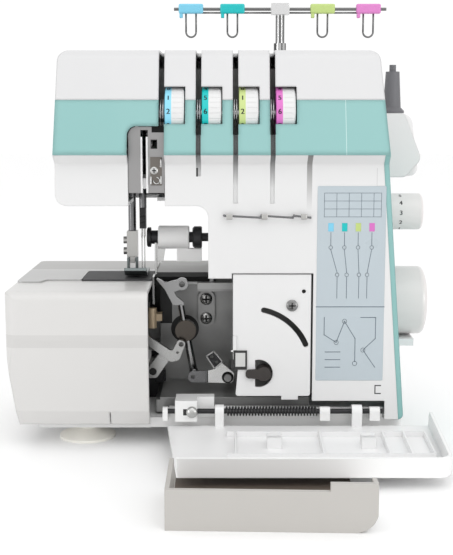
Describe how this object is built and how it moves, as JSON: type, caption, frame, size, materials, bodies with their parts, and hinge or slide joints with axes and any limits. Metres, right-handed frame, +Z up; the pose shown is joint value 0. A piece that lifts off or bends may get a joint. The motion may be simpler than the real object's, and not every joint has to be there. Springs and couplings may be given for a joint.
{
  "type": "overlock sewing machine",
  "caption": "Home overlock sewing machine shown with its front cover folded down, looper compartment bare, waste tray in front, slide-off extension table and rear thread stand.",
  "frame": {"origin": "centre of the bounding box on the table top", "axes": "+Z up, +X to the user's right, +Y away from the user towards the thread stand"},
  "size_m": [0.3408, 0.38, 0.357],
  "materials": {
    "white_shell": "satin moulded",
    "aqua_shell": "satin moulded",
    "grey_plastic": "fine texture",
    "dark_plastic": "fine texture",
    "rubber": "matte",
    "casting": "as cast",
    "plate_metal": "brushed",
    "steel": "polished",
    "brass": "turned"
  },
  "bodies": {
    "machine": {"base_pan": "grey_plastic", "rubber_feet": "rubber", "frame_casting": "casting", "rear_cover": "white_shell", "side_cover": "aqua_shell", "head_cover": "white_shell", "head_band_left": "aqua_shell", "head_band_right": "aqua_shell", "front_panel": "white_shell", "motor": "dark_plastic", "drive_belt": "rubber", "power_inlet": "dark_plastic", "tension_shaft": "steel", "face_plate": "plate_metal", "bed_plate": "plate_metal", "free_arm": "casting", "needle_plate": "steel", "lower_knife": "steel", "looper_panel": "white_shell", "pan_screws": "steel", "thread_guides": "steel", "hinge_rod": "steel", "cover_spring": "steel", "brass_weight": "brass", "spool_stand": "white_shell", "spool_holders": "grey_plastic", "mast_tube": "steel"},
    "drive": {"main_shaft": "steel", "handwheel": "white_shell"},
    "motor_rotor": {"motor_pulley": "steel"},
    "length_dial": {"stitch_length_dial": "white_shell"},
    "switch_key": {"power_switch": "dark_plastic"},
    "dial_left_needle": {"left_needle_dial": "white_shell"},
    "dial_right_needle": {"right_needle_dial": "white_shell"},
    "dial_upper_looper": {"upper_looper_dial": "white_shell"},
    "dial_lower_looper": {"lower_looper_dial": "white_shell"},
    "rocker": {"needle_rocker": "steel"},
    "needle_group": {"needle_bar": "steel", "needle_clamp": "dark_plastic", "needles": "steel"},
    "lifter": {"presser_lifter": "steel"},
    "presser_group": {"presser_bar": "steel", "foot_holder": "steel"},
    "sewing_foot": {"presser_foot": "steel"},
    "feed": {"feed_dogs": "steel"},
    "knife_group": {"knife_shaft": "steel", "knife_sleeve": "grey_plastic", "upper_knife": "steel"},
    "looper_upper": {"upper_looper": "steel"},
    "looper_lower": {"lower_looper": "steel"},
    "takeup": {"takeup_lever": "steel", "takeup_eyes": "dark_plastic"},
    "thread_lever": {"threading_lever": "dark_plastic"},
    "cover_slider": {"cover_bushes": "steel"},
    "cover": {"front_cover": "white_shell"},
    "table": {"extension_table": "white_shell", "cloth_plate": "plate_metal"},
    "tray": {"waste_tray": "grey_plastic"},
    "mast": {"guide_mast": "steel", "guide_clips": "grey_plastic"}
  },
  "joints": [
    {"name": "handwheel_turn", "type": "hinge", "parent": "machine", "child": "drive", "pos_m": [0, 0.08, 0.102], "axis": [1, 0, 0], "continuous": true},
    {"name": "motor_turn", "type": "hinge", "parent": "machine", "child": "motor_rotor", "pos_m": [0, 0.098, 0.052], "axis": [1, 0, 0], "continuous": true},
    {"name": "length_dial_turn", "type": "hinge", "parent": "machine", "child": "length_dial", "pos_m": [0.149, 0.045, 0.181], "axis": [1, 0, 0], "range_deg": [-135, 135]},
    {"name": "switch_rock", "type": "hinge", "parent": "machine", "child": "switch_key", "pos_m": [0.143, 0.069, 0.05525], "axis": [0, 1, 0], "range_deg": [-8, 8]},
    {"name": "left_needle_tension", "type": "hinge", "parent": "machine", "child": "dial_left_needle", "pos_m": [0, 0.00908, 0.25999], "axis": [1, 0, 0], "range_deg": [-135, 135]},
    {"name": "right_needle_tension", "type": "hinge", "parent": "machine", "child": "dial_right_needle", "pos_m": [0, 0.00908, 0.25999], "axis": [1, 0, 0], "range_deg": [-135, 135]},
    {"name": "upper_looper_tension", "type": "hinge", "parent": "machine", "child": "dial_upper_looper", "pos_m": [0, 0.00908, 0.25999], "axis": [1, 0, 0], "range_deg": [-135, 135]},
    {"name": "lower_looper_tension", "type": "hinge", "parent": "machine", "child": "dial_lower_looper", "pos_m": [0, 0.00908, 0.25999], "axis": [1, 0, 0], "range_deg": [-135, 135]},
    {"name": "rocker_swing", "type": "hinge", "parent": "machine", "child": "rocker", "pos_m": [0, 0.105, 0.24], "axis": [1, 0, 0], "range_deg": [-15, 15]},
    {"name": "needle_stroke", "type": "slide", "parent": "machine", "child": "needle_group", "axis": [0, 0, 1], "range_m": [-0.0135, 0.0135]},
    {"name": "lifter_swing", "type": "hinge", "parent": "machine", "child": "lifter", "pos_m": [-0.078, 0.095, 0.218], "axis": [1, 0, 0], "range_deg": [-9, 0]},
    {"name": "presser_lift", "type": "slide", "parent": "machine", "child": "presser_group", "axis": [0, 0, 1], "range_m": [0, 0.0058]},
    {"name": "foot_tilt", "type": "hinge", "parent": "presser_group", "child": "sewing_foot", "pos_m": [-0.078, 0.059, 0.1395], "axis": [1, 0, 0], "range_deg": [-2, 4]},
    {"name": "feed_stroke", "type": "slide", "parent": "machine", "child": "feed", "axis": [0, 1, 0], "range_m": [-0.002, 0.002]},
    {"name": "knife_swing", "type": "hinge", "parent": "machine", "child": "knife_group", "pos_m": [-0.04, 0.055, 0.1588], "axis": [1, 0, 0], "range_deg": [-10, 10]},
    {"name": "upper_looper_swing", "type": "hinge", "parent": "machine", "child": "looper_upper", "pos_m": [-0.0333, 0.032, 0.0851], "axis": [0, 1, 0], "range_deg": [-2, 6]},
    {"name": "lower_looper_swing", "type": "hinge", "parent": "machine", "child": "looper_lower", "pos_m": [-0.06, 0.025, 0.052], "axis": [0, 1, 0], "range_deg": [-4, 4]},
    {"name": "takeup_swing", "type": "hinge", "parent": "machine", "child": "takeup", "pos_m": [0.001, 0.019, 0.049], "axis": [0, 1, 0], "range_deg": [-5, 5]},
    {"name": "threading_swing", "type": "hinge", "parent": "machine", "child": "thread_lever", "pos_m": [0.0292, -0.007, 0.0588], "axis": [0, 1, 0], "range_deg": [-63, 0]},
    {"name": "cover_slide", "type": "slide", "parent": "machine", "child": "cover_slider", "axis": [-1, 0, 0], "range_m": [0, 0.013], "deforming": ["cover_spring"]},
    {"name": "cover_hinge", "type": "hinge", "parent": "cover_slider", "child": "cover", "pos_m": [0.05, -0.011, 0.029], "axis": [1, 0, 0], "range_deg": [-93.5, 0]},
    {"name": "table_slide", "type": "slide", "parent": "machine", "child": "table", "axis": [-1, 0, 0], "range_m": [0, 0.115]},
    {"name": "tray_slide", "type": "slide", "parent": "machine", "child": "tray", "axis": [0, -1, 0], "range_m": [0, 0.1]},
    {"name": "mast_slide", "type": "slide", "parent": "machine", "child": "mast", "axis": [0, 0, 1], "range_m": [-0.02, 0]}
  ],
  "couplings": [
    {"joint": "motor_turn", "follows": "handwheel_turn", "ratio": 2.7143},
    {"joint": "needle_stroke", "follows": "rocker_swing", "m_per_rad": -0.05},
    {"joint": "presser_lift", "follows": "lifter_swing", "m_per_rad": -0.036}
  ]
}
